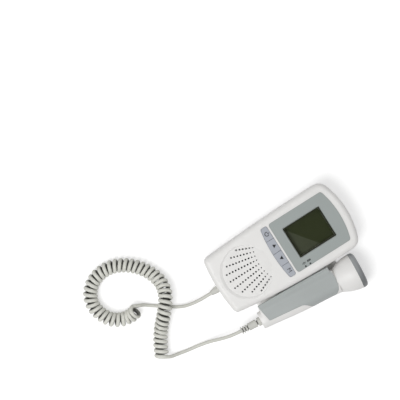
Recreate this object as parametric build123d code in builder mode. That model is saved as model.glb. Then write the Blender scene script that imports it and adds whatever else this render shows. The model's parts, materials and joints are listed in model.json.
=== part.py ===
from build123d import *
from math import cos, pi, radians, sin, tan
import os

# A hand-held fetal doppler monitor lying on its back. The screen end is at +Y, the probe is docked
# at +X, and the origin is on the back face, midway along the main unit. Millimetres, +Z up.

# ---- main unit case ----
body_length = 137.0
body_height = 30.5
split_height = 15.0            # where the two covers meet
wall = 2.2
side_half_width = 33.6         # at the screen end's corners
waist_inset = 1.3              # how far the sides draw in beside the speaker
waist_place = -15.0
front_left_inset = 4.0         # the front end is narrower, and cut back beside the probe's cord
front_right_inset = 6.8
front_bow = 2.5
end_bow = 7.4
front_corner_radius = 4.5
end_corner_radius = 10.0
smallest_radius = 0.5          # a corner is never sharper than this
top_edge_radius = 4.5
bottom_edge_radius = 3.0
lip_height = 1.5               # the rear cover's lip stands inside the front cover
lip_root = 2.5
lip_thickness = 1.1
trim_gap = 0.15                # around flush trim
seat_gap = 0.1                 # under a part that rests on another

# ---- display ----
panel_side_inset = 8.1         # from the side of the case
panel_bottom = 0.6
panel_top = 60.4
panel_bow = 4.0
panel_corner_radius = 2.7
panel_thickness = 1.2
window_side_inset = 10.3       # from the side of the panel
window_length = 38.0
window_place = 28.8
window_corner_radius = 0.6
window_thickness = 0.9
window_ledge = 1.2
panel_bevel = 0.5
light_radius = 0.7
light_side_inset = 1.2         # from the side of the panel to the two status lights
light_places = (14.4, 9.6)
light_rise = 0.15
light_collar_radius = 1.1
light_collar_height = 0.6
glass_thickness = 2.4
glass_margin = 1.2             # the glass reaches this far past the window
backlight_thickness = 2.5
frame_wall = 1.2
frame_lip = 1.0

# ---- keys ----
key_side_inset = 8.0           # from the side of the case
key_strip_top = -1.2
key_strip_bottom = -10.1
key_strip_bow = 2.4
key_strip_corner_radius = 1.8
key_names = ("power_key", "up_key", "down_key", "mode_key")
key_gap = 0.2                  # between caps and around the strip
key_rise = 0.6
key_travel = 0.5
key_edge_radius = 0.3
key_flange_reach = 1.2
key_flange_thickness = 1.0
key_stem_radius = 1.5
key_stem_place = -4.8
dome_radius = 2.6
dome_height = 0.3

# ---- speaker ----
speaker_place = -39.5
speaker_radius = 19.0
gasket_thickness = 0.9
gasket_width = 2.4
basket_rim_thickness = 1.0
basket_rim_width = 2.2
basket_depth = 6.6
basket_sheet = 0.8
basket_back_radius = 10.0
cone_sheet = 0.4
cone_depth = 4.0
cap_radius = 6.0
cap_rise = 2.2
magnet_radius = 9.2
magnet_thickness = 5.2
ring_wall = 1.2
ring_height = 4.0
fan_centre_place = 14.1        # the sound holes lie on rays from this point
fan_first_radius = 39.3
fan_step = 3.0
fan_ray_angle = 5.8
fan_ray_counts = (6, 8, 10, 11, 11, 11, 10, 8, 6)
sound_hole_radius = 0.82
small_hole_radii = (0.55, 0.68)   # the first holes of each ray are smaller
dish_radius_x = 25.6
dish_radius_y = 24.6
dish_place = -37.4
dish_depth = 1.3
dish_edge_width = 2.3          # the slope round its floor

# ---- circuit board ----
board_side_gap = 2.1           # from the covers' walls at the waist
board_bottom = -15.5
board_top_end = 58.0
board_thickness = 1.6
board_edge_gap = 0.8
board_face = 21.5              # height of its upper face
board_post_places = ((18.0, 54.8), (-18.0, 54.8), (23.5, 3.5), (-23.5, 3.5))
board_post_radius = 2.2
board_screw_radius = 0.8
board_screw_head_radius = 1.7
board_screw_head_height = 1.1
board_screw_length = 5.0
thread_gap = 0.05
hole_gap = 0.2
chip_places = ((7.0, 32.0), (-8.0, 14.0), (-8.0, 26.0), (20.0, -8.0))
chip_sizes = ((10.0, 10.0), (8.0, 5.0), (5.0, 2.4), (7.0, 5.0))
chip_height = 1.3
connector_places = (-14.0, 12.0)
connector_width = 8.0
connector_depth = 4.0
connector_height = 4.0
connector_wall = 0.8
led_width = 1.6
led_depth = 0.9
led_height = 0.6

# ---- sockets in the left side ----
earphone_place = 30.0
charging_place = 16.0
socket_height = 23.55
socket_body_width = 6.0
socket_body_height = 4.6
earphone_length = 10.6
charging_length = 8.6
barrel_radius = 2.25
barrel_length = 2.5
socket_bore_radius = 1.8
earphone_bore_depth = 11.5
charging_bore_depth = 9.0
charging_pin_radius = 0.65
charging_pin_length = 7.0
socket_recess = 0.6            # the sockets' mouths stand this far inside the widest place

# ---- battery bay and door ----
cell_radius = 7.1
cell_length = 49.2
cell_nub_radius = 2.6
cell_nub_length = 1.3
cell_pitch = 15.0
cell_clearance = 0.3
bay_side_gap = 0.5
bay_front = 3.5
bay_length = 55.0
bay_wall = 1.8
bay_roof = 1.2
door_side_land = 0.6
door_thickness = 2.0
door_land = 1.0
door_gap = 0.2
tongue_width = 1.0
tongue_thickness = 0.8
tongue_height = 0.8            # underside of the tongue above the back face
latch_half_width = 5.0
thumb_groove_places = (47.0, 49.0, 51.0, 53.0, 55.0)
thumb_groove_half_length = 6.5
thumb_groove_width = 0.9
thumb_groove_depth = 0.4
contact_thickness = 0.4
contact_width = 8.0
contact_height = 10.0
spring_bulge = 2.0

# ---- case screws ----
end_screw_inset = 7.6          # from the case's widest place
end_screw_place = 50.0
front_screw_inset = 11.6
front_screw_place = -54.5
post_radius = 3.6
screw_radius = 1.25
screw_clearance = 0.2
screw_head_radius = 2.5
screw_head_height = 2.0
screw_seat = 4.4
screw_length = 18.0
head_clearance = 0.3
cross_width = 0.7
cross_length = 2.8
cross_depth = 1.0

# ---- cord and its boots ----
cord_diameter = 3.4
coil_outer_diameter = 13.6
first_run = 9.0                # the cord leaves each boot straight for this far
unit_boot_radius = 3.3
unit_boot_straight = 2.2
unit_boot_taper = 5.0
unit_boot_end_radius = 2.3
boot_neck_radius = 2.6
boot_flange_radius = 4.0
boot_flange_thickness = 1.5
boot_clearance = 0.1

# ---- probe ----
probe_tilt = 4.6               # the probe's axis leans away from the main unit's
rim_side_gap = 2.5             # between the case's widest place and the head's rim
rim_along = 45.5               # the rim's place along the main unit
rim_lift = 0.3                 # between the rim and what the unit lies on
rim_radius = 16.8
neck_radius = 11.0
neck_place = -19.4             # where the handle ends, along the probe from the rim
head_middle_inset = 1.5        # the bell's middle is this much slimmer than its rim
head_middle_place = -9.5
head_wall = 1.8
spigot_gap = 0.6
spigot_wall = 1.8
spigot_length = 4.0
face_depth = 5.3
face_edge_radius = 3.4
face_gap = 0.1
face_plug_gap = 0.6
face_plug_wall = 1.8
face_plug_depth = 3.0
face_wall = 1.9
crystal_margin = 2.1
crystal_gap = 0.8
crystal_thickness = 1.0
backing_thickness = 4.4
handle_low_end = -93.6
cap_end = -97.0
cap_half_width = 7.9
cap_half_height = 8.7
cap_edge_radius = 1.3
wing_top = 6.5                 # heights of the wing's tip above the probe's axis
wing_underside = 3.6
wing_root = 2.5
wing_tip_radius = 1.3
wing_cut_gap = 0.2
wing_cut_width = 20.0
shoulder_reach = 8.4
shoulder_radius = 6.0
grip_corner_radius = 7.6
root_radius = 1.0
# stations along the handle: place, half width, half height, reach of the wing towards the main unit
handle_stations = (
    (handle_low_end, 8.3, 9.3, 13.4),
    (-72.0, 9.5, 10.4, 14.3),
    (-45.0, 10.4, 11.2, 15.1),
    (-28.0, 10.5, 11.3, 15.5),
    (neck_place, neck_radius, 11.5, 15.6),
)
handle_wall = 1.8
void_corner_radius = 6.0
void_low_end = -94.0
wing_top_end = -21.2
grip_parting = 2.0             # above the probe's axis
grip_corner_rise = 4.0         # the grip's lower edge slants: its outer corner is this far up
grip_wing_drop = 1.5
seam_gap = 0.12
probe_board_width = 12.0
probe_board_low = -86.0
probe_board_high = -34.0
probe_board_thickness = 1.2
probe_board_drop = 1.0         # its upper face below the probe's axis
probe_screw_places = (-82.0, -46.0)
probe_post_radius = 3.3
probe_upper_post_radius = 2.2
probe_screw_radius = 1.0
probe_screw_head_radius = 1.9
probe_screw_head_height = 1.6
probe_screw_seat = 10.4
probe_screw_length = 13.0
probe_cross_length = 2.2
probe_boot_collar_radius = 4.1
probe_boot_collar_length = 2.5
probe_boot_radius = 3.65
probe_boot_end_radius = 3.3
probe_boot_length = 19.6
probe_groove_places = (3.4, 13.0, 15.5, 18.0)
probe_groove_width = 1.1
probe_groove_depth = 1.5

# ---- cradle beside the main unit ----
cradle_thickness = 2.2
cradle_root = 5.6              # how far the cradle reaches in under the case
cradle_width = 15.4            # and out under the handle
cradle_low = -46.0
cradle_high = 14.0
head_ledge_width = 7.4         # it is narrower beside the head
head_ledge_high = 36.0
cradle_corner_radius = 3.0
saddle_places = (-75.0, -38.0)
saddle_width = 4.0
saddle_inner_reach = 17.6
saddle_outer_reach = 6.5
saddle_top = 14.4
saddle_clearance = 0.3

# ---- worked out from the sizes above ----
half_length = body_length / 2
front_corner_place = -half_length + front_bow
end_corner_place = half_length - end_bow
cover_inner = body_height - wall
ledge_height = body_height - panel_thickness
board_back = board_face - board_thickness
bay_half_width = cell_pitch / 2 + cell_radius + bay_side_gap
bay_inner_top = wall + 2 * (cell_clearance + cell_radius)
bay_back = bay_front + bay_length
door_half_width = bay_half_width + door_side_land
cell_height = wall + cell_clearance + cell_radius
waist_half_width = side_half_width - waist_inset
board_half_width = waist_half_width - wall - board_side_gap
panel_half_width = side_half_width - panel_side_inset
window_width = 2 * (panel_half_width - window_side_inset)
light_reach = panel_half_width - light_side_inset
key_half_span = side_half_width - key_side_inset
socket_face_place = side_half_width - socket_recess
screw_places = [
    (side * (side_half_width - inset), place)
    for inset, place in ((end_screw_inset, end_screw_place), (front_screw_inset, front_screw_place))
    for side in (1, -1)
]
head_middle_radius = rim_radius - head_middle_inset
face_plug_radius = rim_radius - head_wall - face_plug_gap
face_pocket_radius = face_plug_radius - face_plug_wall
crystal_radius = face_pocket_radius - crystal_margin
spigot_radius = neck_radius - handle_wall - spigot_gap
spigot_bore = spigot_radius - spigot_wall
bottom_align = (Align.CENTER, Align.CENTER, Align.MIN)
front_align = (Align.CENTER, Align.MIN, Align.MIN)
rim_reach = side_half_width + rim_side_gap + rim_radius
axis_height = rim_radius + rim_lift
probe_seat = Location((rim_reach, rim_along, 0), (0, 0, -probe_tilt))

os.makedirs("parts", exist_ok=True)


def write_piece(piece, label):
    """Name a finished piece and write its file."""
    piece.label = label
    export_step(piece, f"parts/{label}.step")


# ---- outlines shared by the covers and what sits in them ----
front_left = (front_left_inset - side_half_width, front_corner_place)
front_right = (side_half_width - front_right_inset, front_corner_place)
end_left = (-side_half_width, end_corner_place)
end_right = (side_half_width, end_corner_place)
case_arcs = (
    ThreePointArc(front_left, (0, -half_length), front_right),
    ThreePointArc(front_right, (waist_half_width, waist_place), end_right),
    ThreePointArc(end_right, (0, half_length), end_left),
    ThreePointArc(end_left, (-waist_half_width, waist_place), front_left),
)


def case_shape(inset):
    """The case's outline, moved inwards: what lies inside the circles of all four arcs."""
    with BuildSketch() as shape:
        for number, arc in enumerate(case_arcs):
            with Locations((arc.arc_center.X, arc.arc_center.Y)):
                Circle(arc.radius - inset, mode=Mode.INTERSECT if number else Mode.ADD)
        front_radius = max(front_corner_radius - inset, smallest_radius)
        fillet(shape.vertices().sort_by(Axis.Y)[:2], front_radius)
        end_radius = max(end_corner_radius - inset, smallest_radius)
        fillet(shape.vertices().sort_by(Axis.Y)[-2:], end_radius)
    return shape.sketch


def panel_shape(grow):
    """The display panel's outline, grown by a clearance."""
    with BuildSketch() as shape:
        low = panel_bottom - grow
        shoulder = panel_top - panel_bow + grow
        reach = panel_half_width + grow
        with BuildLine():
            Line((-reach, shoulder), (-reach, low))
            Line((-reach, low), (reach, low))
            Line((reach, low), (reach, shoulder))
            ThreePointArc((reach, shoulder), (0, panel_top + grow), (-reach, shoulder))
        make_face()
        fillet(shape.vertices(), panel_corner_radius)
    return shape.sketch


def window_shape(grow):
    """The window's outline, grown or drawn in."""
    with BuildSketch() as shape:
        with Locations((0, window_place)):
            RectangleRounded(window_width + 2 * grow, window_length + 2 * grow, window_corner_radius)
    return shape.sketch


def key_strip_shape(grow):
    """The outline that the four keys fill together."""
    with BuildSketch() as shape:
        reach = key_half_span + grow
        top = key_strip_top + grow
        low = key_strip_bottom + key_strip_bow - grow
        with BuildLine():
            Line((-reach, low), (-reach, top))
            Line((-reach, top), (reach, top))
            Line((reach, top), (reach, low))
            ThreePointArc((reach, low), (0, key_strip_bottom - grow), (-reach, low))
        make_face()
        fillet(shape.vertices(), key_strip_corner_radius)
    return shape.sketch


case_outline = case_shape(0)
cavity_outline = case_shape(wall)
lip_outer = case_shape(wall + trim_gap)
lip_inner = case_shape(wall + trim_gap + lip_thickness)


# ---- probe handle forms, in the probe's own frame: +Y towards its face, rim centre at Y = 0 ----
def handle_section(station, grow):
    """One section of the handle: a rounded body with a wing towards the main unit."""
    place, half_width, half_height, wing_reach = station
    side = half_width + grow
    top = half_height + grow
    tip = -wing_reach - grow
    corner = grip_corner_radius + grow
    points = (
        (tip, axis_height + wing_underside - grow),
        (tip, axis_height + wing_top + grow),
        (-shoulder_reach, axis_height + top),
        (side, axis_height + top),
        (side, axis_height - top),
        (-side, axis_height - top),
        (-side, axis_height + wing_root - grow),
    )
    radii = (wing_tip_radius, wing_tip_radius, shoulder_radius, corner, corner, corner, root_radius)
    with BuildSketch(Plane.XZ.offset(-place)) as section:
        with BuildLine():
            FilletPolyline(*points, radius=radii, close=True)
        make_face()
    return section.sketch


def handle_form(grow):
    """The outside of the whole handle."""
    with BuildPart() as form:
        loft([handle_section(station, grow).faces()[0] for station in handle_stations])
        with Locations((-wing_cut_width / 2 - wing_cut_inner, wing_top_end - grow, 0)):
            Box(wing_cut_width, wing_cut_width, body_height * 2, align=front_align, mode=Mode.SUBTRACT)
    return form.part


def core_section(place, half_width, half_height, corner):
    """A rounded rectangle round the probe's axis."""
    with BuildSketch(Plane.XZ.offset(-place)) as section:
        with Locations((0, axis_height)):
            RectangleRounded(2 * half_width, 2 * half_height, corner)
    return section.sketch.faces()[0]


wing_cut_inner = neck_radius + wing_cut_gap
handle_outside = handle_form(0)
_, low_half_width, low_half_height, _ = handle_stations[0]

with BuildPart() as handle_void:
    loft(
        [
            core_section(place, width - handle_wall, height - handle_wall, void_corner_radius)
            for place, width, height, _ in handle_stations
        ]
    )
    extrude(
        core_section(
            handle_low_end,
            low_half_width - handle_wall,
            low_half_height - handle_wall,
            void_corner_radius,
        ),
        amount=handle_low_end - void_low_end,
    )

grip_points = (
    (-20.0, handle_low_end - grip_wing_drop),
    (3.0, handle_low_end + grip_corner_rise),
    (4.4, -55.5),
    (11.4, -47.5),
    (11.1, -21.0),
    (-4.0, -19.2),
    (-20.0, -21.2),
)
grip_radii = (0, 1.5, 8.0, 2.5, 9.5, 6.0, 0)


def grip_prism(grow):
    """The space above the seam, inside the grip's plan outline."""
    with BuildPart() as prism:
        with BuildSketch(Plane.XY.offset(axis_height + grip_parting - grow)):
            with BuildLine():
                FilletPolyline(*grip_points, radius=grip_radii, close=True)
            make_face()
            if grow:
                offset(amount=grow)
        extrude(amount=body_height)
    return prism.part


# ---- rear cover ----
with BuildPart() as rear_form:
    add(case_outline)
    extrude(amount=split_height)
    fillet(rear_form.faces().sort_by(Axis.Z)[0].edges(), bottom_edge_radius)

with BuildPart() as saddle_blocks:
    with Locations(*[(-saddle_inner_reach, place, 0) for place in saddle_places]):
        Box(
            saddle_inner_reach + saddle_outer_reach,
            saddle_width,
            saddle_top,
            align=(Align.MIN, Align.CENTER, Align.MIN),
        )
    add(handle_form(saddle_clearance), mode=Mode.SUBTRACT)

with BuildPart() as cradle:
    with BuildSketch():
        with Locations((side_half_width - cradle_root, cradle_low)):
            for width, high in ((cradle_width, cradle_high), (head_ledge_width, head_ledge_high)):
                RectangleRounded(
                    cradle_root + width,
                    high - cradle_low,
                    cradle_corner_radius,
                    align=(Align.MIN, Align.MIN),
                )
    extrude(amount=cradle_thickness)
    add(probe_seat * saddle_blocks.part)
    with BuildSketch():
        add(case_shape(wall / 2))
    extrude(amount=split_height, mode=Mode.SUBTRACT)

with BuildPart() as rear_cover:
    add(rear_form.part)
    with BuildSketch(Plane.XY.offset(wall)):
        add(cavity_outline)
    extrude(amount=split_height, mode=Mode.SUBTRACT)
    with BuildSketch(Plane.XY.offset(split_height - lip_root)):
        add(cavity_outline)
        add(lip_inner, mode=Mode.SUBTRACT)
    extrude(amount=lip_root)
    with BuildSketch(Plane.XY.offset(split_height)):
        add(lip_outer)
        add(lip_inner, mode=Mode.SUBTRACT)
        with Locations(*screw_places):
            Circle(post_radius + hole_gap, mode=Mode.SUBTRACT)
    extrude(amount=lip_height)
    add(cradle.part)
    bay_outer_width = 2 * (bay_half_width + bay_wall)
    with Locations((0, bay_front - bay_wall, 0)):
        Box(bay_outer_width, bay_length + 2 * bay_wall, bay_inner_top + bay_roof, align=front_align)
    with Locations(*[(x, y, 0) for x, y in screw_places]):
        Cylinder(post_radius, split_height, align=bottom_align)
    # the bay opens downwards, through the door's opening
    with Locations((0, bay_front, 0)):
        Box(2 * bay_half_width, bay_length, bay_inner_top, align=front_align, mode=Mode.SUBTRACT)
    with Locations((0, bay_front - door_land, 0)):
        Box(2 * door_half_width, body_length, wall, align=front_align, mode=Mode.SUBTRACT)
    groove_bottom = tongue_height - door_gap / 2
    groove_height = tongue_thickness + door_gap
    with Locations((0, bay_front - door_land, groove_bottom)):
        Box(
            2 * (door_half_width + tongue_width),
            body_length,
            groove_height,
            align=front_align,
            mode=Mode.SUBTRACT,
        )
    with Locations((0, bay_front - door_land - tongue_width, groove_bottom)):
        Box(
            2 * (latch_half_width + door_gap),
            2 * tongue_width,
            groove_height,
            align=front_align,
            mode=Mode.SUBTRACT,
        )
    with Locations(*[Location((x, y, 0), (180, 0, 0)) for x, y in screw_places]):
        CounterBoreHole(
            screw_radius + screw_clearance,
            screw_head_radius + head_clearance,
            screw_seat,
            split_height,
        )
    with Locations(Location((0, -half_length, split_height), (90, 0, 0))):
        Cylinder(boot_neck_radius + boot_clearance, 4 * wall, mode=Mode.SUBTRACT)
    with Locations(Location((0, wall - half_length, split_height), (-90, 0, 0))):
        Cylinder(
            boot_flange_radius + 2 * boot_clearance,
            4 * boot_flange_thickness,
            align=bottom_align,
            mode=Mode.SUBTRACT,
        )
write_piece(rear_cover.part, "rear_cover")

# ---- battery door: slides off towards the screen end ----
with BuildPart() as battery_door:
    door_low = bay_front - door_land + door_gap
    with Locations((0, door_low, 0)):
        Box(2 * (door_half_width - door_gap), body_length, door_thickness, align=front_align)
    with Locations((0, door_low, tongue_height)):
        Box(
            2 * (door_half_width + tongue_width - door_gap),
            body_length,
            tongue_thickness,
            align=front_align,
        )
    with Locations((0, door_low - tongue_width, tongue_height)):
        Box(2 * latch_half_width, 2 * tongue_width, tongue_thickness, align=front_align)
    add(rear_form.part, mode=Mode.INTERSECT)
    with Locations(*[(0, place, 0) for place in thumb_groove_places]):
        Box(
            2 * thumb_groove_half_length,
            thumb_groove_width,
            2 * thumb_groove_depth,
            mode=Mode.SUBTRACT,
        )
write_piece(battery_door.part, "battery_door")

# ---- front cover ----
with BuildPart() as front_cover:
    with BuildSketch(Plane.XY.offset(split_height)):
        add(case_outline)
    extrude(amount=body_height - split_height)
    fillet(front_cover.faces().sort_by(Axis.Z)[-1].edges(), top_edge_radius)
    with BuildSketch(Plane.XY.offset(split_height)):
        add(cavity_outline)
    extrude(amount=cover_inner - split_height, mode=Mode.SUBTRACT)
    # posts for the case screws and the board, and the ring round the speaker
    with Locations(*[(x, y, split_height) for x, y in screw_places]):
        Cylinder(post_radius, cover_inner - split_height, align=bottom_align)
    with Locations(*[(x, y, board_face) for x, y in board_post_places]):
        Cylinder(board_post_radius, cover_inner - board_face, align=bottom_align)
    with BuildSketch(Plane.XY.offset(cover_inner)):
        with Locations((0, speaker_place)):
            Circle(speaker_radius + trim_gap + ring_wall)
            Circle(speaker_radius + trim_gap, mode=Mode.SUBTRACT)
    extrude(amount=-ring_height)
    with Locations(*[(x, y, split_height) for x, y in screw_places]):
        Cylinder(
            screw_radius + thread_gap,
            screw_length - (split_height - screw_seat) + 1,
            align=bottom_align,
            mode=Mode.SUBTRACT,
        )
    with Locations(*[(x, y, board_face) for x, y in board_post_places]):
        Cylinder(
            board_screw_radius + thread_gap,
            board_screw_length - board_thickness + 1,
            align=bottom_align,
            mode=Mode.SUBTRACT,
        )
    # the panel's recess, the display opening, the light holes and the key opening
    with BuildSketch(Plane.XY.offset(ledge_height)):
        add(panel_shape(trim_gap))
    extrude(amount=panel_thickness, mode=Mode.SUBTRACT)
    with BuildSketch(Plane.XY.offset(cover_inner)):
        add(window_shape(-window_ledge))
        with Locations(*[(light_reach, place) for place in light_places]):
            Circle(light_radius + trim_gap)
        add(key_strip_shape(0))
    extrude(amount=wall, mode=Mode.SUBTRACT)
    # the shallow dish round the grille, sloping down towards the front end
    floor_radius_x = dish_radius_x - dish_edge_width
    floor_radius_y = dish_radius_y - dish_edge_width
    dish_plane = Plane(
        (0, dish_place + floor_radius_y, body_height),
        x_dir=(1, 0, 0),
        z_dir=(0, -dish_depth, 2 * floor_radius_y),
    )
    for rise, grow in ((0, 0), (2 * dish_depth, 2 * dish_edge_width)):
        with BuildSketch(dish_plane.offset(rise)):
            with Locations((0, -floor_radius_y)):
                Ellipse(floor_radius_x + grow, floor_radius_y + grow)
    loft(mode=Mode.SUBTRACT)
    with BuildSketch(Plane.XY.offset(cover_inner)):
        middle_ray = len(fan_ray_counts) // 2
        for ray, count in enumerate(fan_ray_counts):
            angle = radians(-90 + fan_ray_angle * (ray - middle_ray))
            for hole in range(count):
                radius = fan_first_radius + fan_step * hole
                small = hole < len(small_hole_radii)
                with Locations((radius * cos(angle), fan_centre_place + radius * sin(angle))):
                    Circle(small_hole_radii[hole] if small else sound_hole_radius)
    extrude(amount=wall, mode=Mode.SUBTRACT)
    # holes for the two sockets and the cord's boot
    with Locations(
        *[
            Location((-socket_face_place, place, socket_height), (0, 90, 0))
            for place in (earphone_place, charging_place)
        ]
    ):
        Cylinder(barrel_radius + trim_gap, 4 * wall, mode=Mode.SUBTRACT)
    with Locations(Location((0, -half_length, split_height), (90, 0, 0))):
        Cylinder(boot_neck_radius + boot_clearance, 4 * wall, mode=Mode.SUBTRACT)
write_piece(front_cover.part, "front_cover")

# ---- display ----
with BuildPart() as display_panel:
    with BuildSketch(Plane.XY.offset(ledge_height)):
        add(panel_shape(0))
        add(window_shape(trim_gap), mode=Mode.SUBTRACT)
        with Locations(*[(light_reach, place) for place in light_places]):
            Circle(light_radius + trim_gap, mode=Mode.SUBTRACT)
    extrude(amount=panel_thickness)
    window_rim = display_panel.faces().sort_by(Axis.Z)[-1].inner_wires().sort_by(Axis.X)[0]
    chamfer(window_rim.edges(), panel_bevel)
write_piece(display_panel.part, "display_panel")

with BuildPart() as lcd_window:
    with BuildSketch(Plane.XY.offset(ledge_height)):
        add(window_shape(0))
    extrude(amount=window_thickness)
write_piece(lcd_window.part, "lcd_window")

glass_width = window_width + 2 * glass_margin
glass_length = window_length + 2 * glass_margin
backlight_height = board_face + seat_gap
glass_height = backlight_height + backlight_thickness + seat_gap
with BuildPart() as backlight_panel:
    with Locations((0, window_place, backlight_height)):
        Box(glass_width, glass_length, backlight_thickness, align=bottom_align)
write_piece(backlight_panel.part, "backlight_panel")

with BuildPart() as lcd_glass:
    with Locations((0, window_place, glass_height)):
        Box(glass_width, glass_length, glass_thickness, align=bottom_align)
write_piece(lcd_glass.part, "lcd_glass")

with BuildPart() as lcd_frame:
    frame_top = cover_inner - seat_gap
    frame_width = glass_width + 2 * (trim_gap + frame_wall)
    frame_length = glass_length + 2 * (trim_gap + frame_wall)
    with Locations((0, window_place, board_face)):
        Box(frame_width, frame_length, frame_top - board_face, align=bottom_align)
        pocket_height = glass_height + glass_thickness + seat_gap - board_face
        Box(
            glass_width + 2 * trim_gap,
            glass_length + 2 * trim_gap,
            pocket_height,
            align=bottom_align,
            mode=Mode.SUBTRACT,
        )
        Box(
            glass_width - 2 * frame_lip,
            glass_length - 2 * frame_lip,
            frame_top - board_face,
            align=bottom_align,
            mode=Mode.SUBTRACT,
        )
write_piece(lcd_frame.part, "lcd_frame")

light_bottom = board_face + led_height + seat_gap
with BuildPart() as status_lights:
    with Locations(*[(light_reach, place, light_bottom) for place in light_places]):
        Cylinder(light_radius, body_height + light_rise - light_bottom, align=bottom_align)
    with Locations(*[(light_reach, place, cover_inner - seat_gap) for place in light_places]):
        Cylinder(
            light_collar_radius,
            light_collar_height,
            align=(Align.CENTER, Align.CENTER, Align.MAX),
        )
write_piece(status_lights.part, "status_lights")

# ---- keys ----
key_pitch = 2 * key_half_span / len(key_names)
key_middle = [key_pitch * (number + 0.5) - key_half_span for number in range(len(key_names))]
key_flange_top = cover_inner - seat_gap
key_stem_bottom = board_face + dome_height + key_travel + seat_gap
for key_name, middle in zip(key_names, key_middle):
    with BuildPart() as key:
        with BuildSketch(Plane.XY.offset(key_flange_top)):
            add(key_strip_shape(-key_gap))
            with Locations((middle, 0)):
                Rectangle(key_pitch - key_gap, body_length, mode=Mode.INTERSECT)
        extrude(amount=body_height + key_rise - key_flange_top)
        fillet(key.faces().sort_by(Axis.Z)[-1].edges(), key_edge_radius)
        flange_top_edge = key_strip_top + key_flange_reach
        with Locations((middle, flange_top_edge, key_flange_top)):
            Box(
                key_pitch - key_gap,
                flange_top_edge - key_strip_bottom + key_flange_reach,
                key_flange_thickness,
                align=(Align.CENTER, Align.MAX, Align.MAX),
            )
        with Locations((middle, key_stem_place, key_stem_bottom)):
            Cylinder(key_stem_radius, key_flange_top - key_stem_bottom, align=bottom_align)
    write_piece(key.part, key_name)

with BuildPart() as key_domes:
    with Locations(*[(middle, key_stem_place, board_face) for middle in key_middle]):
        Cone(dome_radius, dome_radius / 2, dome_height, align=bottom_align)
write_piece(key_domes.part, "key_domes")

# ---- circuit board ----
with BuildPart() as main_board:
    with BuildSketch(Plane.XY.offset(board_back)):
        with Locations((0, (board_bottom + board_top_end) / 2)):
            Rectangle(2 * board_half_width, board_top_end - board_bottom)
        add(case_shape(wall + board_edge_gap), mode=Mode.INTERSECT)
        with Locations(*screw_places[:2]):
            Circle(post_radius + hole_gap, mode=Mode.SUBTRACT)
        with Locations(*board_post_places):
            Circle(board_screw_radius + hole_gap, mode=Mode.SUBTRACT)
    extrude(amount=board_thickness)
write_piece(main_board.part, "main_board")

with BuildPart() as board_chips:
    for place, size in zip(chip_places, chip_sizes):
        with Locations((place[0], place[1], board_back)):
            Box(size[0], size[1], chip_height, align=(Align.CENTER, Align.CENTER, Align.MAX))
write_piece(board_chips.part, "board_chips")

with BuildPart() as board_connectors:
    connector_line = board_bottom + connector_depth / 2
    with Locations(*[(x, connector_line, board_face) for x in connector_places]):
        Box(connector_width, connector_depth, connector_height, align=bottom_align)
    with Locations(*[(x, connector_line, board_face + connector_wall) for x in connector_places]):
        Box(
            connector_width - 2 * connector_wall,
            connector_depth - 2 * connector_wall,
            connector_height,
            align=bottom_align,
            mode=Mode.SUBTRACT,
        )
write_piece(board_connectors.part, "board_connectors")

with BuildPart() as indicator_leds:
    with Locations(*[(light_reach, place, board_face) for place in light_places]):
        Box(led_width, led_depth, led_height, align=bottom_align)
write_piece(indicator_leds.part, "indicator_leds")

with BuildPart() as board_screws:
    with Locations(*[(x, y, board_back) for x, y in board_post_places]):
        Cylinder(board_screw_radius, board_screw_length, align=bottom_align)
        Cylinder(
            board_screw_head_radius,
            board_screw_head_height,
            align=(Align.CENTER, Align.CENTER, Align.MAX),
        )
write_piece(board_screws.part, "board_screws")


# ---- sockets ----
def side_socket(place, body_length_inwards, bore_depth):
    """A round socket whose mouth is in the left side."""
    with BuildPart() as socket:
        with Locations((barrel_length - socket_face_place, place, board_face)):
            Box(
                body_length_inwards,
                socket_body_width,
                socket_body_height,
                align=(Align.MIN, Align.CENTER, Align.MIN),
            )
        with Locations(Location((-socket_face_place, place, socket_height), (0, 90, 0))):
            Cylinder(barrel_radius, barrel_length, align=bottom_align)
            Cylinder(socket_bore_radius, bore_depth, align=bottom_align, mode=Mode.SUBTRACT)
    return socket.part


write_piece(side_socket(earphone_place, earphone_length, earphone_bore_depth), "earphone_socket")

with BuildPart() as charging_socket:
    add(side_socket(charging_place, charging_length, charging_bore_depth))
    pin_root = charging_bore_depth - socket_face_place
    with Locations(Location((pin_root, charging_place, socket_height), (0, -90, 0))):
        Cylinder(charging_pin_radius, charging_pin_length, align=bottom_align)
write_piece(charging_socket.part, "charging_socket")

# ---- speaker ----
gasket_top = cover_inner - seat_gap
rim_top = gasket_top - gasket_thickness - seat_gap
rim_bottom = rim_top - basket_rim_thickness
basket_bottom = rim_top - basket_depth
with BuildPart() as speaker_gasket:
    with BuildSketch(Plane.XY.offset(gasket_top)):
        with Locations((0, speaker_place)):
            Circle(speaker_radius)
            Circle(speaker_radius - gasket_width, mode=Mode.SUBTRACT)
    extrude(amount=-gasket_thickness)
write_piece(speaker_gasket.part, "speaker_gasket")


def turned(profile_points):
    """A turned piece from its half profile, given as radius and height at the speaker."""
    with BuildPart() as piece:
        with BuildSketch(Plane.XZ.offset(-speaker_place)):
            with BuildLine():
                Polyline(*profile_points, close=True)
            make_face()
        revolve(axis=Axis((0, speaker_place, 0), (0, 0, 1)))
    return piece.part


rim_inner = speaker_radius - basket_rim_width
speaker_basket = turned(
    (
        (speaker_radius, rim_top),
        (rim_inner, rim_top),
        (rim_inner, rim_bottom),
        (basket_back_radius, basket_bottom + basket_sheet),
        (0, basket_bottom + basket_sheet),
        (0, basket_bottom),
        (basket_back_radius + basket_sheet, basket_bottom),
        (rim_inner + basket_sheet, rim_bottom),
        (speaker_radius, rim_bottom),
    )
)
write_piece(speaker_basket, "speaker_basket")

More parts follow.
